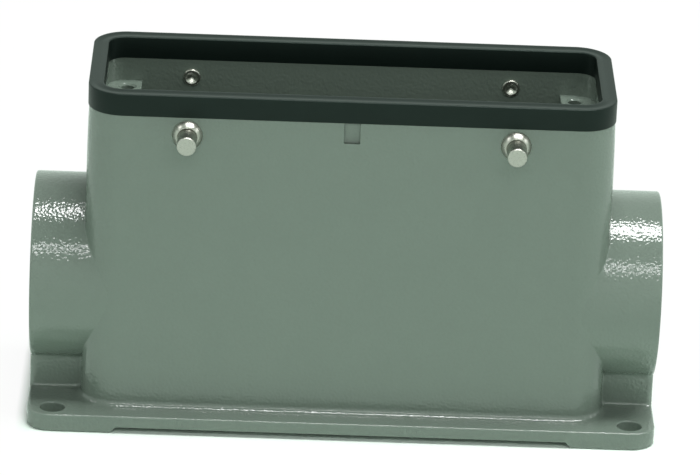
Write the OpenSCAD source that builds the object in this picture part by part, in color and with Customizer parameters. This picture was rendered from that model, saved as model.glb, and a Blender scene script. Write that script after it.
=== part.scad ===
// Surface-mounting housing of a heavy duty rectangular connector.
// A one-piece die-cast box takes a contact insert at its mouth and a cable gland at each end.
// X runs along the housing, Y across it (front is -Y) and Z up.
// The origin is the centre of the base's underside.

/* [Box] */
// Length of the box, along X
body_l = 119.6; // [110:0.1:130]
// Width of the box, along Y
body_w = 42.7; // [38:0.1:48]
// Outer radius of the box's upright corners
body_r = 7.9; // [5:0.1:12]
// Height of the shoulder that the seal's lips stand on
shoulder_z = 75.3; // [65:0.1:90]
// Thickness of the end walls
end_wall = 3.1; // [2:0.05:5]
// Thickness of the front and rear walls
side_wall = 3.65; // [2.5:0.05:5]
// Corner radius of the cavity
cavity_r = 4.4; // [2:0.1:8]
// Thickness of the floor between the relief and the cavity
floor_t = 3; // [2:0.1:5]

/* [Base flange] */
// How far the flange and the entries stand out past the box's ends
base_end = 12.4; // [9:0.1:20]
// How far the flange stands out past the box's front and rear
base_side = 6.8; // [5:0.1:12]
// Thickness of the base flange at its feet
base_t = 4.2; // [3:0.1:6]
// Corner radius of the base flange
base_r = 5.5; // [3:0.1:9]
// Width of the sloped foot between the flange and the box
foot_leg = 1.2; // [0.5:0.1:3]
// Depth of the relief under the middle of the base
relief_d = 1.5; // [0.5:0.1:2.5]
// Length of each foot at the relief's roof, along X
feet_l = 20.5; // [15:0.1:30]
// Distance from the flange's ends to the mounting holes' axes
mount_end = 5.9; // [4:0.05:9]
// Distance from the flange's front and rear edges to the mounting holes' axes
mount_side = 4.65; // [4:0.05:9]
// Diameter of the mounting holes
mount_d = 5.6; // [4.5:0.1:6.5]

/* [Cable entries] */
// Thickness of an entry boss's wall about its thread's core
entry_wall = 6; // [3:0.1:8]
// Height of the entries' axis
entry_z = 30.2; // [24:0.1:40]
// Core diameter of the entry thread, M32 x 1.5
entry_core_d = 30.4; // [20:0.1:38]
// Width of the rib that carries an entry boss on the flange
rib_w = 23.4; // [15:0.1:35]

/* [Insert posts] */
// Distance from the cavity's end walls to the insert screws' axes
screw_end = 4.7; // [4:0.05:8]
// Distance from the cavity's front and rear walls to the insert screws' axes
screw_side = 4.2; // [3.5:0.05:7]
// Depth of the posts' tops below the shoulder
post_drop = 5.5; // [2:0.1:12]
// Radius of a post about its screw hole
post_r = 3.3; // [2.8:0.1:4.5]
// Core diameter of the screw thread, M4
screw_core_d = 3.3; // [2.5:0.1:4]
// Depth of the screw holes
screw_depth = 14; // [8:0.5:20]
// Depth of the countersink at a screw hole's mouth
screw_sink = 0.45; // [0.2:0.05:1]

/* [Seal] */
// How far the seal stands out past the box
seal_over = 0.2; // [0:0.05:0.6]
// Height of the seal above the shoulder
seal_h = 5.2; // [4:0.1:8]
// How far the seal's inner lip stands in from the cavity wall
lip_proud = 0.2; // [0:0.05:0.5]
// Thickness of the seal over the rim
seal_crown = 1.9; // [1:0.1:3]
// Side clearance between the rim and the seal's groove
groove_gap = 0.3; // [0.1:0.05:0.5]
// How far the rim is set in from the box's outer face
rim_in = 0.8; // [0.5:0.1:1.5]
// How far the rim is set out from the cavity wall
rim_out = 0.9; // [0.5:0.1:1.5]

/* [Locking pegs] */
// Distance between the pegs of one side, along X
peg_x = 74.4; // [60:0.1:90]
// Distance from the shoulder down to the pegs' axis
peg_drop = 4.2; // [3.6:0.1:10]
// Diameter of the peg's pin
pin_d = 4.45; // [3:0.05:6]
// How far the pin's end stands out from the box
pin_out = 7.55; // [5:0.05:10]
// Diameter of the peg's collar
collar_d = 6.9; // [5:0.1:9]
// Thickness of the peg's collar
collar_t = 1.7; // [1:0.1:3]
// Diameter of the peg's neck, next to the collar
neck_d = 3.9; // [3:0.05:5]
// Diameter of the shank in the wall
shank_d = 3.8; // [3:0.05:5]
// Diameter of the shank's flared inner end
flare_d = 4.5; // [4:0.05:6]
// Depth of the flare in the wall
flare_t = 0.7; // [0.4:0.05:1.2]
// Diameter of the hollow in the flared end
hollow_d = 3.3; // [2:0.05:4]
// Depth of the hollow in the flared end
hollow_t = 1.6; // [0.8:0.1:2.5]

/* [Notch] */
// Width of the notch in the front wall
notch_w = 3.7; // [2:0.1:6]
// Depth of the notch into the wall
notch_t = 0.9; // [0.4:0.1:1.5]
// Height of the notch, from its lower edge to the shoulder
notch_h = 4.9; // [2:0.1:8]

/* [Hidden] */

finish_body = [0.45, 0.51, 0.48];
finish_seal = [0.12, 0.14, 0.13];
finish_peg = [0.75, 0.75, 0.72];

eps = 0.01;
past = 5;
root = 2;
big_fn = 96;
small_fn = 48;
cavity_l = body_l - 2 * end_wall;
cavity_w = body_w - 2 * side_wall;
floor_z = relief_d + floor_t;
base_l = body_l + 2 * base_end;
base_w = body_w + 2 * base_side;
relief_l = base_l - 2 * feet_l;
mount_x = base_l - 2 * mount_end;
mount_y = base_w - 2 * mount_side;
entry_d = entry_core_d + 2 * entry_wall;
entry_in = body_l / 2 - body_r - root;
insert_x = cavity_l - 2 * screw_end;
insert_y = cavity_w - 2 * screw_side;
post_z = shoulder_z - post_drop;
seal_top = shoulder_z + seal_h;
rim_z = seal_top - seal_crown;
mouth_l = cavity_l - 2 * lip_proud;
mouth_w = cavity_w - 2 * lip_proud;
mouth_r = cavity_r - lip_proud;

// Block of length l and width w with upright corners of radius r, from z0 to z1.
module rounded_block(l, w, r, z0, z1) {
  translate([0, 0, z0])
    linear_extrude(z1 - z0)
      union() {
        square([l - 2 * r, w], center = true);
        square([l, w - 2 * r], center = true);
        for (sx = [-1, 1], sy = [-1, 1])
          translate([sx * (l / 2 - r), sy * (w / 2 - r)])
            circle(r, $fn = big_fn);
      }
}

// One copy at each of the four places (+-x, +-y).
module at_corners(x, y) {
  for (sx = [-1, 1], sy = [-1, 1])
    translate([sx * x, sy * y, 0])
      children();
}

// Cylinder of radius r along X, from x0 to x1, on the entries' axis.
module entry_rod(r, x0, x1) {
  translate([x0, 0, entry_z])
    rotate([0, 90, 0])
      cylinder(r = r, h = x1 - x0, $fn = big_fn);
}

// Sloped foot along the box's four sides and round its four corners.
module foot() {
  slope = [[-foot_leg, 0], [foot_leg, 0], [0, foot_leg], [-foot_leg, foot_leg]];
  side_l = body_l - 2 * body_r;
  side_w = body_w - 2 * body_r;
  translate([0, 0, base_t]) {
    for (turn = [0, 180])
      rotate([0, 0, turn]) {
        translate([0, body_w / 2, 0])
          rotate([90, 0, 90])
            linear_extrude(side_l, center = true)
              polygon(slope);
        translate([body_l / 2, 0, 0])
          rotate([90, 0, 0])
            linear_extrude(side_w, center = true)
              polygon(slope);
      }
    at_corners(side_l / 2, side_w / 2)
      rotate_extrude($fn = big_fn)
        translate([body_r, 0])
          polygon(slope);
  }
}

// Posts for the insert screws: each fills a corner of the cavity down to the floor.
module insert_posts() {
  to_end = screw_end + eps;
  to_side = screw_side + eps;
  linear_extrude(post_z)
    for (left = [0, 1], front = [0, 1])
      mirror([left, 0])
        mirror([0, front])
          translate([insert_x / 2, insert_y / 2]) {
            circle(post_r, $fn = small_fn);
            translate([0, -post_r])
              square([to_end, post_r + to_side]);
            translate([-post_r, 0])
              square([post_r + to_end, to_side]);
          }
}

// Countersunk screw hole, its mouth at z = 0 and its depth downwards.
module screw_hole() {
  translate([0, 0, -screw_depth])
    cylinder(d = screw_core_d, h = screw_depth + past, $fn = small_fn);
  translate([0, 0, -screw_sink])
    cylinder(d1 = screw_core_d, d2 = screw_core_d + 4 * screw_sink, h = 2 * screw_sink, $fn = small_fn);
}

// Places a shape made along +Z at a peg's seat on the box's outer face.
module at_peg(sx, sy) {
  translate([sx * peg_x / 2, sy * body_w / 2, shoulder_z - peg_drop])
    rotate([-sy * 90, 0, 0])
      children();
}

// Hole for a peg's shank, opened out at the inner face for the flare.
module peg_hole() {
  translate([0, 0, -side_wall - past])
    cylinder(d = shank_d, h = side_wall + 2 * past, $fn = small_fn);
  translate([0, 0, -side_wall - past])
    cylinder(d = flare_d, h = past + flare_t, $fn = small_fn);
}

// Relief under the middle of the base, its two ends sloped.
module base_relief() {
  half = relief_l / 2;
  translate([0, base_w / 2 + past, 0])
    rotate([90, 0, 0])
      linear_extrude(base_w + 2 * past)
        polygon([
          [-half - 2 * relief_d, -relief_d],
          [half + 2 * relief_d, -relief_d],
          [half, relief_d],
          [-half, relief_d]
        ]);
}

module housing() {
  color(finish_body)
    difference() {
      union() {
        difference() {
          union() {
            rounded_block(body_l, body_w, body_r, relief_d, shoulder_z);
            rounded_block(body_l - 2 * rim_in, body_w - 2 * rim_in, body_r - rim_in, shoulder_z - 1, rim_z);
            rounded_block(base_l, base_w, base_r, 0, base_t);
            foot();
            for (side = [0, 180])
              rotate([0, 0, side]) {
                entry_rod(entry_d / 2, entry_in, base_l / 2);
                translate([entry_in, -rib_w / 2, relief_d])
                  cube([base_l / 2 - entry_in, rib_w, entry_z - relief_d]);
              }
          }
          rounded_block(cavity_l, cavity_w, cavity_r, floor_z, shoulder_z);
          rounded_block(
            cavity_l + 2 * rim_out,
            cavity_w + 2 * rim_out,
            cavity_r + rim_out,
            shoulder_z,
            rim_z + past
          );
        }
        difference() {
          insert_posts();
          translate([0, 0, -past])
            cube([base_l, base_w, 2 * (floor_z + past - eps)], center = true);
        }
      }
      at_corners(insert_x / 2, insert_y / 2)
        translate([0, 0, post_z])
          screw_hole();
      at_corners(mount_x / 2, mount_y / 2)
        translate([0, 0, -past])
          cylinder(d = mount_d, h = base_t + 2 * past, $fn = small_fn);
      for (side = [0, 180])
        rotate([0, 0, side])
          entry_rod(entry_core_d / 2, cavity_l / 2 - eps, base_l / 2 + past);
      for (sx = [-1, 1], sy = [-1, 1])
        at_peg(sx, sy)
          peg_hole();
      base_relief();
      translate([-notch_w / 2, -body_w / 2 - past, shoulder_z - notch_h])
        cube([notch_w, past + notch_t, notch_h]);
    }
}

// Rubber seal: an upturned channel that grips the rim, its lips on the shoulder.
module rim_seal() {
  groove_in = rim_out - groove_gap;
  groove_out = rim_in - groove_gap;
  color(finish_seal)
    difference() {
      rounded_block(body_l + 2 * seal_over, body_w + 2 * seal_over, body_r + seal_over, shoulder_z, seal_top);
      rounded_block(mouth_l, mouth_w, mouth_r, shoulder_z - past, seal_top + past);
      difference() {
        rounded_block(
          body_l - 2 * groove_out,
          body_w - 2 * groove_out,
          body_r - groove_out,
          shoulder_z - past,
          rim_z
        );
        rounded_block(
          cavity_l + 2 * groove_in,
          cavity_w + 2 * groove_in,
          cavity_r + groove_in,
          shoulder_z - 2 * past,
          rim_z + past
        );
      }
    }
}

// Turned and riveted locking peg: pin, neck, domed collar, shank and hollow flared end.
module peg(sx, sy) {
  pin_r = pin_d / 2;
  collar_r = collar_d / 2;
  tip = 0.35;
  dome = 0.9;
  neck_l = 0.5;
  hollow_tip = 0.5;
  dome_steps = [for (a = [0:22.5:90]) [collar_r - dome + dome * cos(a), collar_t - dome + dome * sin(a)]];
  color(finish_peg)
    at_peg(sx, sy)
      rotate_extrude($fn = small_fn)
        polygon(concat(
          [
            [0, -side_wall + hollow_t],
            [hollow_d / 2 - hollow_tip, -side_wall + hollow_t],
            [hollow_d / 2, -side_wall + hollow_t - hollow_tip],
            [hollow_d / 2, -side_wall],
            [flare_d / 2, -side_wall],
            [flare_d / 2, -side_wall + flare_t],
            [shank_d / 2, -side_wall + flare_t],
            [shank_d / 2, 0],
            [collar_r, 0]
          ],
          dome_steps,
          [
            [neck_d / 2, collar_t],
            [neck_d / 2, collar_t + neck_l],
            [pin_r, collar_t + neck_l],
            [pin_r, pin_out - tip],
            [pin_r - tip, pin_out],
            [0, pin_out]
          ]
        ));
}

module peg_front_left() {
  peg(-1, -1);
}

module peg_front_right() {
  peg(1, -1);
}

module peg_rear_left() {
  peg(-1, 1);
}

module peg_rear_right() {
  peg(1, 1);
}

housing();
rim_seal();
peg_front_left();
peg_front_right();
peg_rear_left();
peg_rear_right();
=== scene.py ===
"""Surface-mounting housing of a heavy duty rectangular connector, dressed for the studio.

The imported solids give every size. The cast housing, the rim seal and the four locking pegs are made here
as finished meshes with rounded edges, and the solids that they stand for are hidden.
"""

import bpy
import numpy as np
from mathutils import Matrix, Vector


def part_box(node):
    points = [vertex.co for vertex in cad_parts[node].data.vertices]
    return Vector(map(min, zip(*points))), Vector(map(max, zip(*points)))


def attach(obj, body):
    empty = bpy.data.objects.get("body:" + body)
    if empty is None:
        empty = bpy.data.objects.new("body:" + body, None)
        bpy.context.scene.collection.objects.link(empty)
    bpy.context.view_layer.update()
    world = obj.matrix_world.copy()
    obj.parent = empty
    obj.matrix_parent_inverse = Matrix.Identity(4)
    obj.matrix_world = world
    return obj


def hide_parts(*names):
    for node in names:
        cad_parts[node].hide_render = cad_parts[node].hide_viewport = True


bl_info = {
    "name": "Surface Mounting Connector Housing",
    "version": (1, 0, 0),
    "blender": (4, 5, 0),
    "location": "View3D > Sidebar > Connector",
    "description": "Cast housing, rim seal, locking pegs and studio of a rectangular connector housing",
    "category": "Object",
}

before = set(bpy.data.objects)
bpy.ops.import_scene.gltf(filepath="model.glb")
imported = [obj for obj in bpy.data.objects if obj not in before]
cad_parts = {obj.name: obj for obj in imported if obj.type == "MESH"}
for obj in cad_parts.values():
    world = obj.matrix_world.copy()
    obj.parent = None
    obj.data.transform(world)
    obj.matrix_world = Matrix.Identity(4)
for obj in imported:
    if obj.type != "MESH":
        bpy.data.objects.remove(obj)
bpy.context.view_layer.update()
PEGS = ("peg_front_left", "peg_front_right", "peg_rear_left", "peg_rear_right")
HOUSING_LOW, HOUSING_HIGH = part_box("housing")
SEAL_LOW, SEAL_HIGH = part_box("rim_seal")
PEG_LOW, PEG_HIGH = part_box("peg_front_right")
PEG_CENTRE = np.array((PEG_LOW + PEG_HIGH) / 2)
QUARTERS = ((1, 1), (1, -1), (-1, 1), (-1, -1))
OVERCUT = 0.001
SLIVER = 0.00001


# ---------------------------------------------------------------- settings


def size(name, description, default):
    """A length that a user may change, in metres."""
    return bpy.props.FloatProperty(
        name=name, description=description, default=default, min=0.0, unit="LENGTH", precision=5
    )


def colour(name, description, default):
    """A colour that a user may change, linear."""
    return bpy.props.FloatVectorProperty(
        name=name, description=description, default=default, subtype="COLOR", min=0.0, max=1.0
    )


class CastingSizes(bpy.types.PropertyGroup):
    """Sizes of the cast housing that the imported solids' boxes don't give."""

    base_width: size("Flange width", "Width of the base flange", 0.0563)
    base_radius: size("Flange corner", "Corner radius of the base flange", 0.0055)
    base_thickness: size("Flange thickness", "Thickness of the base flange at its feet", 0.0042)
    body_radius: size("Box corner", "Outer radius of the box's upright corners", 0.0079)
    seal_overhang: size("Seal overhang", "How far the seal stands out past the box", 0.0002)
    end_wall: size("End wall", "Thickness of the end walls", 0.0031)
    side_wall: size("Side wall", "Thickness of the front and rear walls", 0.00365)
    cavity_radius: size("Cavity corner", "Corner radius of the cavity", 0.0044)
    floor_height: size("Floor height", "Height of the cavity's floor", 0.0045)
    floor_radius: size("Floor radius", "Radius between the cavity's floor and its walls", 0.0012)
    rim_inset: size("Rim inset", "How far the rim is set in from the box's outer face", 0.0008)
    rim_outset: size("Rim outset", "How far the rim is set out from the cavity wall", 0.0009)
    draft_x: size("End draft", "How much further the end walls stand out at the foot", 0.00045)
    draft_y: size("Side draft", "How much further the long walls stand out at the foot", 0.00030)
    tuck: size("Tuck", "How far the walls are drawn in right under the seal", 0.00022)
    tuck_fade: size("Tuck fade", "Drop over which the tuck fades away", 0.006)
    entry_radius: size("Boss radius", "Outer radius of an entry boss", 0.0216)
    entry_end: size("Boss end", "How far the entries' ends stand out past the solid's box", 0.0002)
    entry_height: size("Entry height", "Height of the entries' axis", 0.0302)
    rib_width: size("Rib width", "Width of the rib under an entry boss", 0.0234)
    relief_depth: size("Relief depth", "Depth of the relief under the base", 0.0015)
    relief_length: size("Relief length", "Length of the relief's roof", 0.1034)
    mount_inset: size("Mount inset", "From the flange's ends to the mounting holes' axes", 0.0059)
    mount_side: size("Mount side", "From the flange's long edges to the mounting holes' axes", 0.00465)
    mount_radius: size("Mount radius", "Radius of the mounting holes", 0.0028)
    foot_fillet: size("Foot fillet", "Radius between the box and the flange", 0.0014)
    boss_fillet: size("Boss fillet", "Radius between the box and an entry boss", 0.00015)
    rib_fillet: size("Rib fillet", "Radius round the rib's foot", 0.0008)
    boss_edge: size("Boss edge", "Radius of an entry boss's outer edge", 0.0005)
    rib_edge: size("Rib edge", "Radius of the rib's upright edges", 0.0014)
    flange_edge: size("Flange edge", "Radius of the flange's edges", 0.0004)


class PostSizes(bpy.types.PropertyGroup):
    """Sizes of the insert posts, the notch and the threads."""

    spacing_x: size("Screw spacing X", "Distance between the insert screws along the box", 0.104)
    spacing_y: size("Screw spacing Y", "Distance between the insert screws across the box", 0.027)
    top: size("Post top", "Height of the posts' tops", 0.0698)
    radius: size("Post radius", "Radius of a post about its screw hole", 0.0033)
    edge: size("Post edge", "Radius of a post's top edge", 0.0004)
    screw_core: size("Screw core", "Core radius of the insert screws' thread", 0.00165)
    screw_depth: size("Screw depth", "Depth of the screw holes", 0.014)
    screw_sink: size("Screw sink", "Depth of the countersink at a screw hole's mouth", 0.00045)
    entry_core: size("Entry core", "Core radius of the entry thread", 0.0152)
    entry_pitch: size("Entry pitch", "Pitch of the entry thread", 0.0015)
    notch_width: size("Notch width", "Width of the notch in the front wall", 0.0037)
    notch_depth: size("Notch depth", "Depth of the notch into the wall", 0.0009)
    notch_low: size("Notch bottom", "Height of the notch's lower edge", 0.0704)


class SealSizes(bpy.types.PropertyGroup):
    """Sizes of the rim seal's section."""

    lip_proud: size("Lip", "How far the inner lip stands in from the cavity wall", 0.0002)
    crown: size("Crown", "Thickness of the seal over the rim", 0.0019)
    groove_gap: size("Groove gap", "Side clearance between the rim and the groove", 0.0003)
    edge: size("Edge", "Radius of the seal's upper edges", 0.00028)
    foot: size("Foot", "Radius of the seal's lower edges", 0.00018)
    valley: size("Valley", "Depth of the shallow valley along the middle of the top face", 0.00016)


class PegSizes(bpy.types.PropertyGroup):
    """Sizes of a locking peg's profile."""

    pin: size("Pin radius", "Radius of the pin", 0.002225)
    collar: size("Collar radius", "Radius of the collar", 0.00350)
    collar_side: size("Collar side", "Height of the collar's straight side", 0.0002)
    dome: size("Dome", "Radius of the arc of the collar's domed face", 0.0044)
    crown: size("Crown", "Radius of the arc at the dome's inner end", 0.00018)
    groove: size("Groove", "Depth of the groove between the collar and the pin", 0.0007)
    neck: size("Neck radius", "Radius of the neck next to the collar", 0.00195)
    neck_height: size("Neck height", "Height of the neck", 0.0004)
    tip: size("Tip", "Radius of the pin end's edge", 0.00035)
    shank: size("Shank radius", "Radius of the shank in the wall", 0.0019)
    flare: size("Flare radius", "Radius of the riveted inner end", 0.00205)
    flare_height: size("Flare height", "Height of the riveted inner end", 0.0007)
    hollow: size("Hollow radius", "Radius of the hollow's mouth in the riveted end", 0.00145)
    hollow_depth: size("Hollow depth", "Depth of the hollow in the riveted end", 0.00085)
    lip: size("Lip radius", "Outer radius of the riveted end's rolled lip", 0.00205)
    proud: size("Proud", "How far the riveted end's tube stands into the cavity", 0.0008)
    lip_height: size("Lip height", "Radius of the riveted end's outer edge", 0.0003)


class Finishes(bpy.types.PropertyGroup):
    """Colours of the part and of the studio."""

    paint: colour("Powder coat", "Colour of the powder coat", (0.1425, 0.1830, 0.1515))
    rubber: colour("Rubber", "Colour of the seal", (0.0036, 0.0072, 0.0060))
    steel: colour("Steel", "Colour of the pegs", (0.455, 0.455, 0.41))
    ground: colour("Ground", "Colour of the floor", (0.84, 0.96, 0.88))


# ---------------------------------------------------------------- meshes


def add_piece(name, vertices, loops):
    """Mesh object from vertices (n, 3) in metres and a list of face arrays, each (m, 3) or (m, 4)."""
    counts = np.concatenate([np.full(len(f), f.shape[1]) for f in loops])
    corners = np.concatenate([f.ravel() for f in loops]).astype(np.int32)
    mesh = bpy.data.meshes.new(name)
    mesh.vertices.add(len(vertices))
    mesh.vertices.foreach_set("co", np.ascontiguousarray(vertices, np.float32).ravel())
    mesh.loops.add(len(corners))
    mesh.loops.foreach_set("vertex_index", corners)
    mesh.polygons.add(len(counts))
    mesh.polygons.foreach_set("loop_start", np.concatenate([[0], np.cumsum(counts)[:-1]]).astype(np.int32))
    mesh.polygons.foreach_set("use_smooth", np.ones(len(counts), bool))
    mesh.update(calc_edges=True)
    piece = bpy.data.objects.new(name, mesh)
    bpy.context.scene.collection.objects.link(piece)
    return piece


def loft(name, rows, ring=False):
    """Closed surface through rows of equal closed loops, an array (rows, columns, 3).

    Each loop runs anticlockwise about the way that the rows go, so that the faces point outwards.
    The first and the last loop are closed by a fan about their middle, or with ring=True joined to
    each other.
    """
    count, columns = rows.shape[:2]
    grid = np.arange(count * columns).reshape(count, columns)
    if ring:
        grid = np.concatenate([grid, grid[:1]])
    here, there = grid[:-1], grid[1:]
    quads = np.stack([here, np.roll(here, -1, 1), np.roll(there, -1, 1), there], -1).reshape(-1, 4)
    if ring:
        return add_piece(name, rows.reshape(-1, 3), [quads])
    ends = rows[[0, -1]].mean(1)
    low, high = count * columns, count * columns + 1
    first, last = grid[0], grid[-1]
    low_fan = np.stack([np.roll(first, -1), first, np.full(columns, low)], -1)
    high_fan = np.stack([last, np.roll(last, -1), np.full(columns, high)], -1)
    return add_piece(name, np.concatenate([rows.reshape(-1, 3), ends]), [quads, low_fan, high_fan])


def close_quarter(quarter):
    """Whole outline from its quarter, which runs from (0, -y) to (x, 0): mirrored in Y and then in X."""
    right = np.concatenate([quarter, quarter[-2::-1] * (1, -1)])
    return np.concatenate([right, right[-2:0:-1] * (-1, 1)])


def rounded_quarter(half_x, half_y, radius, front, corner, side):
    """Quarter of a rounded rectangle: a straight front, an arc of the corner radius and a straight side.

    front and side hold shares from 0 to 1 of the straight stretches and corner holds shares of the
    arc, so two rectangles with the same shares match point by point.
    """
    turn = corner * np.pi / 2
    centre_x, centre_y = half_x - radius, half_y - radius
    along = np.stack([front * centre_x, np.full(len(front), -half_y)], -1)
    arc = np.stack([centre_x + radius * np.sin(turn), -centre_y - radius * np.cos(turn)], -1)
    up = np.stack([np.full(len(side), half_x), -centre_y * (1 - side)], -1)
    return np.concatenate([along[:-1], arc, up[1:]])


def at_height(outline, height):
    """Outline (n, 2) as a loop (n, 3) at a height."""
    return np.concatenate([outline, np.full((len(outline), 1), height)], -1)


def between(start, end, shares):
    """Loops on the straight way from one loop to another, one for each share."""
    return start + np.asarray(shares)[:, None, None] * (end - start)


def arc_shares(count):
    """Shares (inwards, upwards) along a quarter circle, from upright to level, in count steps."""
    turn = np.linspace(0, np.pi / 2, count + 1)
    return 1 - np.cos(turn), np.sin(turn)


def lathe(name, profile, origin, axis, columns=64, ring=False):
    """Turned solid: a profile of (radius, height) points carried round an axis through the origin.

    A point lies at origin + height * axis + radius * (cos a * u + sin a * v), where u, v and the axis
    are square to each other and right-handed. Heights rise along the profile's outside.
    """
    axis = np.asarray(axis, float)
    u = np.roll(np.abs(axis), 1)
    v = np.cross(axis, u)
    turn = np.arange(columns) / columns * 2 * np.pi
    radial = np.cos(turn)[:, None] * u + np.sin(turn)[:, None] * v
    profile = np.asarray(profile, float)
    rows = origin + profile[:, 1, None, None] * axis + profile[:, 0, None, None] * radial
    return loft(name, rows, ring)


def cut(piece, cutters, join=False):
    """Takes the cutters out of the piece, or joins them to it, and removes them."""
    modifiers = []
    for cutter in cutters:
        modifier = piece.modifiers.new(cutter.name, "BOOLEAN")
        modifier.object = cutter
        modifier.operation = "UNION" if join else "DIFFERENCE"
        modifier.solver = "MANIFOLD"
        modifier.material_mode = "TRANSFER"
        modifiers.append(modifier)
    graph = bpy.context.evaluated_depsgraph_get()
    made = bpy.data.meshes.new_from_object(piece.evaluated_get(graph), depsgraph=graph)
    piece.modifiers.clear()
    old = piece.data
    piece.data = made
    bpy.data.meshes.remove(old)
    for cutter in cutters:
        bpy.data.meshes.remove(cutter.data)


# ---------------------------------------------------------------- the casting's distance field


def rounded_plan(points, half, radius):
    """Distance to an upright rounded rectangle and its gradient: the corner square's distance less r."""
    signs = np.where(points[:, :2] < 0, -1.0, 1.0)
    over = np.abs(points[:, :2]) - half + radius
    out = np.maximum(over, 0)
    length = np.linalg.norm(out, axis=1)
    corner = length > 1e-12
    gradient = np.zeros((len(points), 3))
    gradient[:, :2] = signs * np.where(over == over.max(1, keepdims=True), 1.0, 0.0)
    gradient[corner, :2] = (signs * out)[corner] / length[corner, None]
    return np.where(corner, length, over.max(1)) - radius, gradient


def slab(points, axis, low, high):
    """Distance to the space between two planes and its gradient."""
    middle, half = (low + high) / 2, (high - low) / 2
    offset = points[:, axis] - middle
    gradient = np.zeros((len(points), 3))
    gradient[:, axis] = np.where(offset < 0, -1.0, 1.0)
    return np.abs(offset) - half, gradient


def rod(points, height, radius):
    """Distance to a long cylinder along X and its gradient."""
    side = points * (0, 1, 1) - (0, 0, height)
    length = np.linalg.norm(side, axis=1)
    return length - radius, side / np.maximum(length, 1e-12)[:, None]


def mix(a, b, weight_a, weight_b):
    """Gradient of the length of two distances' excesses: their weighted mean, at length one."""
    total = np.maximum(np.hypot(weight_a, weight_b), 1e-12)
    return (weight_a[:, None] * a + weight_b[:, None] * b) / total[:, None]


def both(a, b, radius):
    """What lies in both shapes, its outer edge rounded to a radius."""
    (near_a, way_a), (near_b, way_b) = a, b
    out_a, out_b = np.maximum(near_a + radius, 0), np.maximum(near_b + radius, 0)
    edge = (out_a > 0) & (out_b > 0)
    distance = np.where(edge, np.hypot(out_a, out_b) - radius, np.maximum(near_a, near_b))
    way = np.where((near_a > near_b)[:, None], way_a, way_b)
    return distance, np.where(edge[:, None], mix(way_a, way_b, out_a, out_b), way)


def either(a, b, radius):
    """What lies in either shape, the corner between them filled to a radius.

    The fill is scaled by the angle between the two faces as a rolling ball's is, so faces that run
    on into each other get none.
    """
    (near_a, way_a), (near_b, way_b) = a, b
    agree = np.clip((way_a * way_b).sum(1), -1, 1)
    reach = radius * (1 - np.sqrt((1 + agree) / 2)) / (1 - np.sqrt(0.5))
    in_a, in_b = np.maximum(reach - near_a, 0), np.maximum(reach - near_b, 0)
    corner = (in_a > 0) & (in_b > 0)
    distance = np.where(corner, reach - np.hypot(in_a, in_b), np.minimum(near_a, near_b))
    way = np.where((near_a < near_b)[:, None], way_a, way_b)
    return distance, np.where(corner[:, None], mix(way_a, way_b, in_a, in_b), way)


class Casting:
    """The casting's outer form: box, flange, two entry bosses and two ribs, rounded into each other."""

    def __init__(self, sizes):
        self.sizes = sizes
        self.half_base = np.array([HOUSING_HIGH.x + sizes.entry_end, sizes.base_width / 2])
        self.half_box = np.array([SEAL_HIGH.x, SEAL_HIGH.y]) - sizes.seal_overhang
        self.shoulder = SEAL_LOW.z
        self.rim_top = HOUSING_HIGH.z

    def wall(self, height):
        """Half length and half width of the box at a height: the draft widens it evenly downwards,
        and the tuck under the seal fades away as exp(-drop / fade)."""
        s = self.sizes
        drop = np.maximum(self.shoulder - np.asarray(height, float), 0)[..., None]
        draft = np.array([s.draft_x, s.draft_y]) * drop / (self.shoulder - s.base_thickness)
        return self.half_box + draft + s.tuck * (1 - np.exp(-drop / s.tuck_fade))

    def field(self, points):
        """Distance of each point from the casting's outer face, and its gradient."""
        s = self.sizes
        box = rounded_plan(points, self.wall(points[:, 2]), s.body_radius)
        flange_plan = rounded_plan(points, self.half_base, s.base_radius)
        flange = both(flange_plan, slab(points, 2, 0, s.base_thickness), s.flange_edge)
        ends = slab(points, 0, -self.half_base[0], self.half_base[0])
        boss = both(rod(points, s.entry_height, s.entry_radius), ends, s.boss_edge)
        rib_plan = rounded_plan(points, np.array([self.half_base[0], s.rib_width / 2]), s.rib_edge)
        rib = both(rib_plan, slab(points, 2, s.base_thickness / 3, s.entry_height), 0)
        box_and_boss = either(box, boss, s.boss_fillet)
        return either(either(box_and_boss, flange, s.foot_fillet), rib, s.rib_fillet)

    def settle(self, points):
        """Moves the points above the feet and below the shoulder onto the outer face along its
        gradient, in Newton steps."""
        low = (points[:, 2] > self.sizes.base_thickness / 4) & (points[:, 2] < self.shoulder - 0.0005)
        moved = points[low]
        for _ in range(14):
            distance, way = self.field(moved)
            moved = moved - distance[:, None] * way
        points[low] = moved
        return points


def spread(start, end, step):
    """Even places from start to end, about a step apart."""
    return np.linspace(start, end, max(2, int(round(abs(end - start) / step)) + 1))


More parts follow.
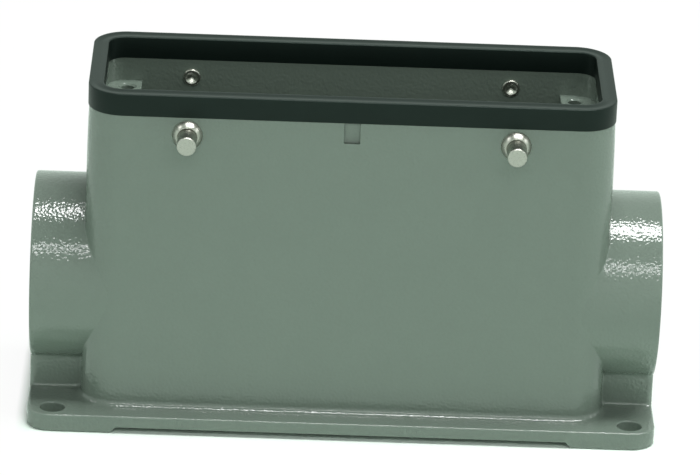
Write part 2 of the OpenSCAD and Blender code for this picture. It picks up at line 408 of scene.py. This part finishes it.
def casting_block(casting):
    """Box and flange in one loft: from the underside out to the flange's edge, in over its top to the
    box's foot, up the wall, in over the shoulder and up the rim. Rows lie close where fillets come."""
    s = casting.sizes
    fine, near = 0.0005, 0.003
    half_x, half_y = casting.half_box
    straight = half_x - s.body_radius
    front = np.concatenate([spread(0, straight - near, 0.006), spread(straight - near, straight, 0.001)[1:]])
    corner = spread(0, 1, fine / (s.body_radius * np.pi / 2))
    side = spread(0, 1, fine / (half_y - s.body_radius))
    shares = (front / straight, corner, side)

    def outline(half, radius, inset=0.0):
        return close_quarter(rounded_quarter(*(half - inset), radius - inset, *shares))

    edge, foot = s.flange_edge, s.base_thickness
    inwards, upwards = arc_shares(4)
    base = [outline(casting.half_base, s.base_radius, edge * i) for i in inwards]
    rows = [at_height(b, edge * (1 - u)) for b, u in zip(base[::-1], upwards[::-1])]
    rows += [at_height(b, foot - edge * (1 - u)) for b, u in zip(base, upwards)]
    box = outline(casting.wall(foot), s.body_radius)
    near_box = outline(casting.wall(foot) + near, s.body_radius + near)
    rows += list(between(rows[-1], at_height(near_box, foot), [0.25, 0.5, 0.75, 0.9]))
    rows += list(between(at_height(near_box, foot), at_height(box, foot), spread(0, 1, 0.12)))
    boss_top = s.entry_height + s.entry_radius
    levels = np.concatenate(
        [
            spread(foot + 0.0003, foot + near, 0.0003),
            spread(foot + near, boss_top + near, fine)[1:],
            spread(boss_top + near, casting.shoulder, 0.004)[1:],
        ]
    )
    rows += [at_height(outline(casting.wall(z), s.body_radius), z) for z in levels]
    rim = outline(casting.half_box, s.body_radius, s.rim_inset)
    rows += [at_height(rim, casting.shoulder), at_height(rim, casting.rim_top)]
    return loft("housing_cast", np.array(rows))


def casting_boss(casting, side):
    """Entry boss as a cylinder's loft along X with a rounded outer edge, close rows where it leaves
    the box. side is 1 or -1."""
    s = casting.sizes
    end, edge, radius = casting.half_base[0], s.boss_edge, s.entry_radius
    start = casting.half_box[0] - s.body_radius
    x = np.concatenate(
        [[start - 0.002], spread(start, start + 0.0115, 0.0005), spread(start + 0.0125, end - edge, 0.0015)]
    )
    inwards, upwards = arc_shares(6)
    profile = np.concatenate(
        [
            np.stack([np.full(len(x), radius), x], -1),
            np.stack([radius - edge * inwards, end - edge + edge * upwards], -1)[1:],
            [[radius - 0.003, end]],
        ]
    )
    return lathe(f"boss_{side}", profile, (0, 0, s.entry_height), (side, 0, 0), columns=260)


def casting_rib(casting, side):
    """Rib under an entry boss: an upright loft of its plan outline, a box with two rounded corners."""
    s = casting.sizes
    end, half, edge = casting.half_base[0], s.rib_width / 2, s.rib_edge
    start = casting.half_box[0] - s.body_radius - 0.001
    x = np.concatenate(
        [
            [start],
            spread(start + 0.007, start + 0.0125, 0.0005),
            spread(start + 0.014, end - edge, 0.001),
        ]
    )
    turn = spread(0, 1, 0.12) * np.pi / 2
    face = spread(-half + edge, half - edge, 0.001)[1:-1]
    near = np.stack([x, np.full(len(x), -half)], -1)
    arc = np.stack([end - edge + edge * np.sin(turn), -half + edge - edge * np.cos(turn)], -1)[1:]
    front = np.concatenate([near, arc])
    outline = np.concatenate([front, np.stack([np.full(len(face), end), face], -1), front[::-1] * (1, -1)])
    if side < 0:
        outline = outline[::-1] * (-1, 1)
    foot = s.base_thickness
    levels = np.concatenate(
        [
            [foot / 2],
            spread(foot - 0.0003, foot + 0.0015, 0.0003),
            spread(foot + 0.002, foot + 0.012, 0.0005),
            [s.entry_height],
        ]
    )
    return loft(f"rib_{side}", np.array([at_height(outline, z) for z in levels]))


def cavity_core(casting, posts):
    """The cavity as a solid, to be cut out: up past the posts, out over their tops, up to the rim's
    inner step and out of the mouth. Below the posts' tops each corner of its outline runs round a post."""
    s = casting.sizes
    half = casting.half_box - (s.end_wall, s.side_wall)
    post_x, post_y = posts.spacing_x / 2 - posts.radius, posts.spacing_y / 2 - posts.radius
    across = spread(0, post_x, 0.004)
    front = np.stack([across, np.full(len(across), -half[1])], -1)[:-1]
    up = spread(post_y, 0, 0.002)
    side = np.stack([np.full(len(up), half[0]), -up], -1)[1:]
    turn = spread(0, 1, 0.06) * np.pi / 2
    round_post = np.stack(
        [
            posts.spacing_x / 2 - posts.radius * np.cos(turn),
            -posts.spacing_y / 2 + posts.radius * np.sin(turn),
        ],
        -1,
    )
    inner_side = spread(half[1], posts.spacing_y / 2, 0.0006)
    outer_side = spread(posts.spacing_x / 2, half[0], 0.0006)
    post = np.concatenate(
        [
            np.stack([np.full(len(inner_side), post_x), -inner_side], -1)[:-1],
            round_post,
            np.stack([outer_side, np.full(len(outer_side), -post_y)], -1)[1:],
        ]
    )
    run = s.cavity_radius * np.pi / 2
    straight_x = half[0] - s.cavity_radius - post_x
    straight_y = half[1] - s.cavity_radius - post_y
    way = np.linspace(0, 1, len(post)) * (straight_x + run + straight_y)
    bend = np.clip((way - straight_x) / run, 0, 1) * np.pi / 2
    corner = np.stack(
        [
            post_x + np.minimum(way, straight_x) + s.cavity_radius * np.sin(bend),
            -half[1] + s.cavity_radius * (1 - np.cos(bend)) + np.maximum(way - straight_x - run, 0),
        ],
        -1,
    )
    low = close_quarter(np.concatenate([front, post, side]))
    high = close_quarter(np.concatenate([front, corner, side]))
    growth = 1 + s.rim_outset / half
    gap = np.linalg.norm(high - low, axis=1)
    inwards, upwards = arc_shares(4)
    along = np.roll(low, -1, 0) - np.roll(low, 1, 0)
    inner = np.stack([-along[:, 1], along[:, 0]], -1) / np.linalg.norm(along, axis=1)[:, None]
    corner = s.floor_radius
    rows = [
        at_height(low + corner * i * inner, s.floor_height + corner * (1 - u))
        for i, u in zip(inwards[::-1], upwards[::-1])
    ]
    rows += [at_height(low, z) for z in spread(s.floor_height + corner, posts.top - posts.edge, 0.008)[1:]]
    for i, u in zip(inwards[1:], upwards[1:]):
        share = np.minimum(posts.edge * i / np.maximum(gap, 1e-9), 1)[:, None]
        rows.append(at_height(low + share * (high - low), posts.top - posts.edge * (1 - u)))
    rows += [at_height(high, posts.top), at_height(high, casting.shoulder)]
    rows += [at_height(high * growth, casting.shoulder), at_height(high * growth, casting.rim_top + 0.005)]
    return loft("cavity_core", np.array(rows))


def entry_cutter(casting, posts, side):
    """Threaded entry to be cut out: the core radius plus a rounded thread that climbs one pitch a turn.

    The thread's depth is cos-shaped in the share of a pitch, flattened at the crest and the root, and
    runs out at the inner end and into a chamfer at the mouth.
    """
    s = casting.sizes
    inner = casting.half_box[0] - s.end_wall - SLIVER
    outer = casting.half_base[0]
    columns = 144
    depth = 0.6 * posts.entry_pitch
    x = spread(inner, outer + OVERCUT, posts.entry_pitch / 8)
    turn = np.arange(columns) / columns
    wave = np.cos(2 * np.pi * (x[:, None] / posts.entry_pitch - side * turn))
    thread = depth * np.clip(0.5 + 0.75 * wave, 0, 1)
    thread *= np.clip((x[:, None] - inner - 0.0012) / 0.001, 0, 1)
    mouth = np.clip(x[:, None] - (outer - 0.0012), 0, 0.003)
    radius = np.maximum(posts.entry_core + thread, posts.entry_core + mouth)
    angle = turn * 2 * np.pi
    rows = np.stack(
        [
            side * np.broadcast_to(x[:, None], radius.shape),
            radius * np.cos(angle) * side,
            s.entry_height + radius * np.sin(angle),
        ],
        -1,
    )
    return loft(f"entry_{side}", rows)


def rounded_mouth(radius, low, high, edge):
    """Profile of a hole from low to high whose mouth at high is rounded to a radius."""
    inwards, upwards = arc_shares(4)
    arc = np.stack([radius + edge * inwards, high - edge + edge * upwards], -1)
    return np.concatenate([[[radius, low]], arc, [[radius + 2 * edge, high + edge]]])


def housing_cutters(casting, posts, pegs):
    """Everything that is cut out of the casting, as solids."""
    s = casting.sizes
    cutters = [cavity_core(casting, posts)]
    mount_x = casting.half_base[0] - s.mount_inset
    mount_y = casting.half_base[1] - s.mount_side
    screw_sink = [
        [posts.screw_core, posts.top - posts.screw_depth],
        [posts.screw_core, posts.top - posts.screw_sink],
        [posts.screw_core + 2 * posts.screw_sink, posts.top + posts.screw_sink],
    ]
    for x, y in QUARTERS:
        mount = rounded_mouth(s.mount_radius, -OVERCUT, s.base_thickness, 0.00035)
        cutters.append(lathe(f"mount_{x}_{y}", mount, (x * mount_x, y * mount_y, 0), (0, 0, 1)))
        place = (x * posts.spacing_x / 2, y * posts.spacing_y / 2, 0)
        cutters.append(lathe(f"screw_{x}_{y}", screw_sink, place, (0, 0, 1)))
    wall_in, wall_out = casting.half_box[1] - s.side_wall, casting.half_box[1]
    shank = [
        [pegs.flare, wall_in - OVERCUT],
        [pegs.flare, wall_in + pegs.flare_height],
        [pegs.shank, wall_in + pegs.flare_height],
        [pegs.shank, wall_out + OVERCUT],
    ]
    for x, y in QUARTERS:
        cutters.append(lathe(f"shank_{x}_{y}", shank, (x * PEG_CENTRE[0], 0, PEG_CENTRE[2]), (0, y, 0)))
    for side in (1, -1):
        cutters.append(entry_cutter(casting, posts, side))
    return cutters + [relief_cutter(casting), notch_cutter(casting, posts)]


def relief_cutter(casting):
    """Relief under the base: a prism along Y of a trapezium whose ends slope at 45 degrees."""
    s = casting.sizes
    half, depth = s.relief_length / 2, s.relief_depth
    section = np.array(
        [[-half - 2 * depth, -depth], [half + 2 * depth, -depth], [half, depth], [-half, depth]]
    )
    width = casting.half_base[1] + 0.002
    y = np.array([width, -width])
    rows = np.stack(
        [
            np.broadcast_to(section[:, 0], (2, 4)),
            np.broadcast_to(y[:, None], (2, 4)),
            np.broadcast_to(section[:, 1], (2, 4)),
        ],
        -1,
    )
    return loft("relief", rows)


def notch_cutter(casting, posts):
    """Notch in the front wall: an upright prism with rounded corners and a rounded lower edge."""
    half = np.array([posts.notch_width / 2, posts.notch_depth])
    edge = 0.00035
    shares = np.linspace(0, 1, 5)
    plan = close_quarter(rounded_quarter(*half, edge, shares, shares, shares))
    face = (0, -casting.half_box[1])
    inwards, upwards = arc_shares(4)
    rows = [
        at_height(plan * (1 - edge * i / half) + face, posts.notch_low + edge * (1 - u))
        for i, u in zip(inwards[::-1], upwards[::-1])
    ]
    rows.append(at_height(plan + face, casting.shoulder + SLIVER))
    return loft("notch", np.array(rows))


def seal_ring(casting, seal):
    """Rim seal: a channel's section carried round the mouth, open downwards over the rim.

    A place on the section is a share of the way from the outer outline to the inner one and a height.
    Its edges are arcs, and the top face sinks by (1 - cos) / 2 into a shallow valley at its middle.
    """
    s = casting.sizes
    over, low, high = s.seal_overhang, casting.shoulder, SEAL_HIGH.z
    arc = np.linspace(0, 1, 29)
    shares = (np.linspace(0, 1, 9), arc, np.linspace(0, 1, 5))
    cavity = casting.half_box - (s.end_wall, s.side_wall)

    def outline(half, radius):
        return close_quarter(rounded_quarter(*half, radius, *shares))

    outer = outline(casting.half_box + over, s.body_radius + over)
    inner = outline(cavity - seal.lip_proud, s.cavity_radius - seal.lip_proud)
    out = s.rim_inset - seal.groove_gap
    groove_out = outline(casting.half_box - out, s.body_radius - out)
    into = s.rim_outset - seal.groove_gap
    groove_in = outline(cavity + into, s.cavity_radius + into)
    width = over + (s.end_wall + s.side_wall) / 2 + seal.lip_proud

    def across(start, end, step, height):
        loop = start + min(step / width, 1) * (end - start)
        return at_height(loop, height)

    inwards, upwards = arc_shares(5)
    foot, edge = seal.foot, seal.edge
    foot_arc = list(zip(foot * inwards, low + foot * (1 - upwards)))
    edge_arc = list(zip(edge * inwards, high - edge * (1 - upwards)))
    rows = [across(outer, inner, *place) for place in foot_arc[::-1] + edge_arc]
    for t in np.linspace(0, 1, 13)[1:-1]:
        dip = seal.valley * (1 - np.cos(2 * np.pi * t)) / 2
        rows.append(across(outer, inner, edge + t * (width - 2 * edge), high - dip))
    rows += [across(inner, outer, *place) for place in edge_arc[::-1] + foot_arc]
    roof = high - seal.crown
    groove = ((groove_in, low), (groove_in, roof), (groove_out, roof), (groove_out, low))
    rows += [at_height(loop, height) for loop, height in groove]
    return loft("seal_ring", np.array(rows), ring=True)


def peg_profile(casting, peg):
    """Profile of a riveted locking peg, heights measured from the housing's middle plane.

    From the middle of its inner end's hollow, out over the end's rounded edge, along the shank, over the
    collar, whose dome is an arc that turns into the tighter arc of its crown, in to the neck and out
    along the pin to its rounded end. The dome's arc tilts from steep to flat.
    """
    wall = casting.half_box[1]
    inside = wall - casting.sizes.side_wall
    lip_foot = inside - peg.proud
    end = -PEG_LOW.y
    turn = np.linspace(0, np.pi / 2, 7)
    lip = [
        peg.lip - peg.lip_height * (1 - np.sin(turn)),
        lip_foot + peg.lip_height * (1 - np.cos(turn)),
    ]
    steep, flat = np.radians(68), np.radians(44)
    tilt = np.linspace(steep, flat, 12)
    dome = [
        peg.collar + peg.dome * (np.sin(tilt) - np.sin(steep)),
        wall + peg.collar_side + peg.dome * (np.cos(tilt) - np.cos(steep)),
    ]
    tilt = np.linspace(flat, -np.pi / 2, 12)[1:]
    crown = [
        dome[0][-1] + peg.crown * (np.sin(tilt) - np.sin(flat)),
        dome[1][-1] + peg.crown * (np.cos(tilt) - np.cos(flat)),
    ]
    groove = [[crown[0][-1], crown[1][-1] - peg.groove]]
    neck_end = max(crown[1]) + peg.neck_height
    inwards, upwards = arc_shares(7)
    tip = [peg.pin - peg.tip * inwards, end - peg.tip * (1 - upwards)]
    step = 0.0001
    hollow = [
        [0.0001, lip_foot + peg.hollow_depth],
        [peg.hollow - step, lip_foot + step],
        [peg.hollow, lip_foot],
    ]
    shank = [
        [peg.flare, inside + peg.flare_height],
        [peg.shank, inside + peg.flare_height],
        [peg.shank, wall - 4 * step],
        [peg.collar - step, wall - 4 * step],
        [peg.collar, wall - 2 * step],
    ]
    neck = [
        [peg.neck, crown[1][-1] - peg.groove],
        [peg.neck, neck_end],
        [peg.pin - step, neck_end + step],
        [peg.pin, neck_end + 2 * step],
    ]
    lip, dome, crown, tip = (np.transpose(part) for part in (lip, dome, crown, tip))
    return np.concatenate([hollow, lip, shank, dome, crown, groove, neck, tip, [[0.0002, end]]])


def shade(piece, casting, sharp=32):
    """Corner normals: the field's gradient on the casting's outer face, straight up on level faces below
    the shoulder, and elsewhere smooth up to an angle in degrees."""
    mesh = piece.data
    mesh.polygons.foreach_set("use_smooth", np.ones(len(mesh.polygons), bool))
    mesh.set_sharp_from_angle(angle=np.radians(sharp))
    corners = len(mesh.loops)
    normals = np.zeros(corners * 3, np.float32)
    mesh.corner_normals.foreach_get("vector", normals)
    normals = normals.reshape(-1, 3)
    points = np.zeros(len(mesh.vertices) * 3, np.float32)
    mesh.vertices.foreach_get("co", points)
    points = points.reshape(-1, 3).astype(float)
    index = np.zeros(corners, np.int32)
    mesh.loops.foreach_get("vertex_index", index)
    face_normal = np.zeros(len(mesh.polygons) * 3, np.float32)
    mesh.polygons.foreach_get("normal", face_normal)
    total = np.zeros(len(mesh.polygons), np.int32)
    mesh.polygons.foreach_get("loop_total", total)
    flat = np.repeat(face_normal.reshape(-1, 3), total, 0)
    distance, way = casting.field(points)
    outer = (np.abs(distance) < 2e-5)[index] & ((way[index] * flat).sum(1) > 0.8)
    outer &= (points[index, 2] < casting.shoulder - 0.0001)
    normals[outer] = way[index][outer]
    level = (flat[:, 2] > 0.9999) & (points[index, 2] < casting.shoulder)
    normals[level] = (0, 0, 1)
    mesh.normals_split_custom_set(normals)


# ---------------------------------------------------------------- shader maths


class Value:
    """A shader socket. Arithmetic on it adds Math nodes."""

    def __init__(self, shader, socket):
        self.shader, self.socket = shader, socket

    def __add__(self, other):
        return self.shader.math("ADD", self, other)

    def __sub__(self, other):
        return self.shader.math("SUBTRACT", self, other)

    def __mul__(self, other):
        return self.shader.math("MULTIPLY", self, other)

    def __rsub__(self, other):
        return self.shader.math("SUBTRACT", other, self)

    __radd__, __rmul__ = __add__, __mul__


class Shader:
    """A material's node tree, or the world's, with one method that adds any node."""

    def __init__(self, owner):
        owner.use_nodes = True
        self.tree = owner.node_tree
        self.tree.nodes.clear()

    def node(self, kind, settings, *values, output=0, **named):
        """Adds a node: its settings first, then its inputs by place or by name, values or links."""
        made = self.tree.nodes.new(kind)
        for key, value in settings.items():
            if key == "stops":
                self.set_stops(made.color_ramp, value)
            else:
                setattr(made, key, value)
        for place, value in [*enumerate(values), *named.items()]:
            socket = made.inputs[place.replace("_", " ") if isinstance(place, str) else place]
            if isinstance(value, Value):
                self.tree.links.new(value.socket, socket)
            else:
                socket.default_value = value
        return Value(self, made.outputs[output])

    def math(self, operation, *values):
        """Adds a Math node."""
        return self.node("ShaderNodeMath", {"operation": operation}, *values)

    def part(self, value, place):
        """Another output of the node that a value comes from."""
        return Value(self, value.socket.node.outputs[place])

    def set_stops(self, ramp, stops):
        """Gives a colour ramp its stops, a list of (place, grey level)."""
        while len(ramp.elements) < len(stops):
            ramp.elements.new(1.0)
        for element, (place, level) in zip(ramp.elements, stops):
            element.position = place
            element.color = (level, level, level, 1)

    def blend(self, share, a, b):
        """Colour between a and b."""
        made = self.tree.nodes.new("ShaderNodeMix")
        made.data_type = "RGBA"
        for place, value in ((0, share), (6, a), (7, b)):
            if isinstance(value, Value):
                self.tree.links.new(value.socket, made.inputs[place])
            else:
                made.inputs[place].default_value = value if place == 0 else (*value, 1)
        return Value(self, made.outputs[2])

    def surface(self, kind, value):
        """Joins the finished shader to the output."""
        out = self.tree.nodes.new(kind)
        self.tree.links.new(value.socket, out.inputs[0])


def scaled(rgb, factor):
    """Colour times a factor."""
    return tuple(min(1.0, c * factor) for c in rgb)


def powder_coat(paint):
    """Grey-green powder coat: pebbles under a millimetre across, faint cloudiness, gloss."""
    material = bpy.data.materials.new("powder_coat")
    s = Shader(material)
    place = s.node("ShaderNodeTexCoord", {}, output=3)
    pebble = s.node("ShaderNodeTexNoise", {}, Vector=place, Scale=1500.0, Detail=0.6, Roughness=0.5)
    cloud = s.node("ShaderNodeTexNoise", {}, Vector=place, Scale=90.0, Detail=3.0)
    bump = s.node("ShaderNodeBump", {}, Strength=1.0, Distance=0.00010, Height=pebble)
    tone = cloud * 0.6 + pebble * 0.4
    base = s.blend(tone, scaled(paint, 0.95), scaled(paint, 1.05))
    rough = 0.08 + 0.04 * cloud
    shader = s.node(
        "ShaderNodeBsdfPrincipled",
        {},
        Base_Color=base,
        Roughness=rough,
        Normal=bump,
        IOR=1.58,
    )
    s.surface("ShaderNodeOutputMaterial", shader)
    return material


def rubber(tone):
    """Black seal rubber with a low sheen and a fine grain."""
    material = bpy.data.materials.new("seal_rubber")
    s = Shader(material)
    place = s.node("ShaderNodeTexCoord", {}, output=3)
    grain = s.node("ShaderNodeTexNoise", {}, Vector=place, Scale=2600.0, Detail=3.0)
    cloud = s.node("ShaderNodeTexNoise", {}, Vector=place, Scale=140.0, Detail=2.0)
    bump = s.node("ShaderNodeBump", {}, Strength=0.25, Distance=0.00005, Height=grain)
    base = s.blend(cloud, scaled(tone, 0.8), scaled(tone, 1.25))
    shader = s.node(
        "ShaderNodeBsdfPrincipled",
        {},
        Base_Color=base,
        Roughness=0.38 + 0.1 * grain,
        Normal=bump,
        IOR=1.34,
        Specular_Tint=(0.78, 1.0, 0.9, 1),
    )
    s.surface("ShaderNodeOutputMaterial", shader)
    return material


def turned_steel(tone, centre):
    """Turned stainless steel: fine rings about the pegs' axes, at +-x and z, and a little grain."""
    material = bpy.data.materials.new("peg_steel")
    s = Shader(material)
    place = s.node("ShaderNodeTexCoord", {}, output=3)
    grain = s.node("ShaderNodeTexNoise", {}, Vector=place, Scale=2500.0, Detail=4.0)
    parts = s.node("ShaderNodeSeparateXYZ", {}, place)
    x = s.math("ABSOLUTE", parts) - float(centre[0])
    z = s.part(parts, 2) - float(centre[2])
    ring = s.math("SINE", s.math("SQRT", x * x + z * z) * 42000.0)
    bump = s.node("ShaderNodeBump", {}, Strength=0.3, Distance=0.00002, Height=0.5 * grain + 0.2 * ring)
    base = s.blend(grain, scaled(tone, 0.85), scaled(tone, 1.15))
    shader = s.node(
        "ShaderNodeBsdfPrincipled",
        {},
        Base_Color=base,
        Metallic=1.0,
        Roughness=0.22 + 0.14 * grain,
        Normal=bump,
    )
    s.surface("ShaderNodeOutputMaterial", shader)
    return material


# ---------------------------------------------------------------- operators


class CONNECTOR_OT_housing(bpy.types.Operator):
    """Make the cast housing and hide the solid that it stands for"""

    bl_idname = "connector.housing"
    bl_label = "Cast Housing"

    def execute(self, context):
        scene = context.scene
        casting = Casting(scene.casting_sizes)
        piece = casting_block(casting)
        parts = [make(casting, side) for side in (1, -1) for make in (casting_boss, casting_rib)]
        cut(piece, parts, join=True)
        points = np.zeros(len(piece.data.vertices) * 3, np.float32)
        piece.data.vertices.foreach_get("co", points)
        points = casting.settle(points.reshape(-1, 3).astype(float))
        piece.data.vertices.foreach_set("co", points.astype(np.float32).ravel())
        cut(piece, housing_cutters(casting, scene.post_sizes, scene.peg_sizes))
        if len(piece.data.polygons) < 1000:
            raise RuntimeError("the housing's cuts left no surface")
        shade(piece, casting)
        piece.data.materials.clear()
        piece.data.materials.append(powder_coat(scene.finishes.paint))
        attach(piece, "root")
        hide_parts("housing")
        return {"FINISHED"}


class CONNECTOR_OT_seal(bpy.types.Operator):
    """Make the rubber rim seal and hide the solid that it stands for"""

    bl_idname = "connector.seal"
    bl_label = "Rim Seal"

    def execute(self, context):
        scene = context.scene
        piece = seal_ring(Casting(scene.casting_sizes), scene.seal_sizes)
        piece.data.set_sharp_from_angle(angle=np.radians(40))
        piece.data.materials.append(rubber(scene.finishes.rubber))
        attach(piece, "root")
        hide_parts("rim_seal")
        return {"FINISHED"}


class CONNECTOR_OT_pegs(bpy.types.Operator):
    """Make the four locking pegs and hide the solids that they stand for"""

    bl_idname = "connector.pegs"
    bl_label = "Locking Pegs"

    def execute(self, context):
        scene = context.scene
        casting = Casting(scene.casting_sizes)
        steel = turned_steel(scene.finishes.steel, PEG_CENTRE)
        for node in PEGS:
            x = -1 if node.endswith("left") else 1
            y = -1 if "front" in node else 1
            profile = peg_profile(casting, scene.peg_sizes)
            place = (x * PEG_CENTRE[0], 0, PEG_CENTRE[2])
            piece = lathe(node + "_turned", profile, place, (0, y, 0), columns=96)
            piece.data.set_sharp_from_angle(angle=np.radians(34))
            piece.data.materials.append(steel)
            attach(piece, "root")
            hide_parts(node)
        return {"FINISHED"}


def area_light(name, place, target, width, height, power):
    """Soft area light aimed at a point."""
    lamp = bpy.data.lights.new(name, "AREA")
    lamp.shape = "RECTANGLE"
    lamp.size, lamp.size_y = width, height
    lamp.energy = power
    light = bpy.data.objects.new(name, lamp)
    light.location = place
    aim = np.array(target) - np.array(place)
    light.rotation_euler = Vector(aim).to_track_quat("-Z", "Y").to_euler()
    bpy.context.scene.collection.objects.link(light)


class CONNECTOR_OT_stage(bpy.types.Operator):
    """Make the floor, the lights, the white background and the camera"""

    bl_idname = "connector.stage"
    bl_label = "Studio"

    def execute(self, context):
        scene = context.scene
        floor_mesh = bpy.data.meshes.new("floor")
        reach = 3.0
        corners = [(-reach, -reach, 0), (reach, -reach, 0), (reach, reach, 0), (-reach, reach, 0)]
        floor_mesh.from_pydata(corners, [], [(0, 1, 2, 3)])
        floor = bpy.data.objects.new("floor", floor_mesh)
        scene.collection.objects.link(floor)
        material = bpy.data.materials.new("studio_floor")
        s = Shader(material)
        camera_ray = s.node("ShaderNodeLightPath", {})
        shiny = s.math("MAXIMUM", s.part(camera_ray, 3), s.part(camera_ray, 6))
        seen = s.math("MAXIMUM", camera_ray, shiny)
        cloth = s.node("ShaderNodeBsdfDiffuse", {}, (*scene.finishes.ground, 1))
        glow = s.node("ShaderNodeEmission", {}, s.blend(shiny, (1, 1, 1), (0.85, 1, 0.9)), 1.0)
        place = s.node("ShaderNodeTexCoord", {}, output=3)
        parts = s.node("ShaderNodeSeparateXYZ", {}, place)
        past_x = s.math("ABSOLUTE", parts) - HOUSING_HIGH.x
        past_y = s.math("ABSOLUTE", s.part(parts, 1)) - HOUSING_HIGH.y
        past = s.math("MAXIMUM", past_x, past_y)
        # Painted shade: the floor's white glow is left out under the housing's box and fades in over 3 mm
        # round it, so the floor there darkens where the housing's shadow falls
        clear = s.node("ShaderNodeMapRange", {"clamp": True}, past, 0.0, 0.003, 0.0, 0.93)
        mixed = s.node("ShaderNodeMixShader", {}, seen * clear, cloth, glow)
        s.surface("ShaderNodeOutputMaterial", mixed)
        floor_mesh.materials.append(material)

        world = bpy.data.worlds.new("studio")
        scene.world = world
        w = Shader(world)
        camera_ray = w.node("ShaderNodeLightPath", {})
        way = w.node("ShaderNodeSeparateXYZ", {}, w.node("ShaderNodeTexCoord", {}))
        fade = {"interpolation_type": "SMOOTHSTEP"}
        low = w.node("ShaderNodeMapRange", fade, w.part(way, 2), 0.35, 0.75, 1.0, 0.05)
        high = w.node("ShaderNodeMapRange", fade, w.part(way, 2), 0.30, 0.52, 1.0, 0.55)
        shiny = w.math("MAXIMUM", w.part(camera_ray, 3), w.part(camera_ray, 6))
        seen = w.math("MAXIMUM", camera_ray, shiny * high)
        soft = w.node("ShaderNodeBackground", {}, (0.95, 1.0, 0.96, 1), low * 0.64)
        tint = w.blend(shiny, (1, 1, 1), (0.85, 1, 0.9))
        white = w.node("ShaderNodeBackground", {}, tint, 1.0)
        w.surface("ShaderNodeOutputWorld", w.node("ShaderNodeMixShader", {}, seen, soft, white))

        area_light("overhead", (0.30, 0.0, 1.3), (0.30, 0, 0.05), 0.84, 0.34, 19)
        area_light("front", (0.12, -1.0, 0.86), (0.12, 0, 0.04), 1.2, 0.10, 4.2)
        area_light("left", (-1.0, -0.05, 0.95), (0, 0, 0.06), 0.30, 0.30, 1.3)
        area_light("right", (1.15, -0.05, 0.68), (0, 0, 0.06), 0.30, 0.30, 1.3)

        camera_data = bpy.data.cameras.new("camera")
        camera_data.sensor_width = 36
        camera_data.lens = 259.1
        camera_data.clip_start, camera_data.clip_end = 0.05, 20
        camera = bpy.data.objects.new("camera", camera_data)
        scene.collection.objects.link(camera)
        yaw, pitch, roll = -0.01710, -0.37752, -0.0404
        turn_z = np.array([[np.cos(yaw), -np.sin(yaw), 0], [np.sin(yaw), np.cos(yaw), 0], [0, 0, 1]])
        turn_x = np.array([[1, 0, 0], [0, np.cos(pitch), -np.sin(pitch)], [0, np.sin(pitch), np.cos(pitch)]])
        turn_y = np.array([[np.cos(roll), 0, np.sin(roll)], [0, 1, 0], [-np.sin(roll), 0, np.cos(roll)]])
        turned = turn_z @ turn_x @ turn_y
        placed = Matrix.Identity(4)
        for row in range(3):
            placed[row][0], placed[row][1], placed[row][2] = turned[row, 0], turned[row, 2], -turned[row, 1]
        placed.translation = (-0.01779, -1.08752, 0.47051)
        camera.matrix_world = placed
        scene.camera = camera
        scene.view_settings.view_transform = "Standard"
        return {"FINISHED"}


class CONNECTOR_PT_panel(bpy.types.Panel):
    """Lists the connector housing's pieces"""

    bl_label = "Connector Housing"
    bl_idname = "CONNECTOR_PT_panel"
    bl_space_type = "VIEW_3D"
    bl_region_type = "UI"
    bl_category = "Connector"

    def draw(self, context):
        for operator in OPERATORS:
            self.layout.operator(operator.bl_idname)


OPERATORS = (CONNECTOR_OT_housing, CONNECTOR_OT_seal, CONNECTOR_OT_pegs, CONNECTOR_OT_stage)
GROUPS = {
    "casting_sizes": CastingSizes,
    "post_sizes": PostSizes,
    "seal_sizes": SealSizes,
    "peg_sizes": PegSizes,
    "finishes": Finishes,
}


def register():
    """Adds the classes and the scene's settings."""
    for kind in (*GROUPS.values(), *OPERATORS, CONNECTOR_PT_panel):
        bpy.utils.register_class(kind)
    for name, kind in GROUPS.items():
        setattr(bpy.types.Scene, name, bpy.props.PointerProperty(type=kind))


def unregister():
    """Removes the scene's settings and the classes."""
    for name in GROUPS:
        delattr(bpy.types.Scene, name)
    for kind in (CONNECTOR_PT_panel, *reversed(OPERATORS), *GROUPS.values()):
        bpy.utils.unregister_class(kind)


def main():
    """Makes every piece and the studio."""
    register()
    bpy.ops.connector.housing()
    bpy.ops.connector.seal()
    bpy.ops.connector.pegs()
    bpy.ops.connector.stage()


if __name__ == "__main__":
    main()
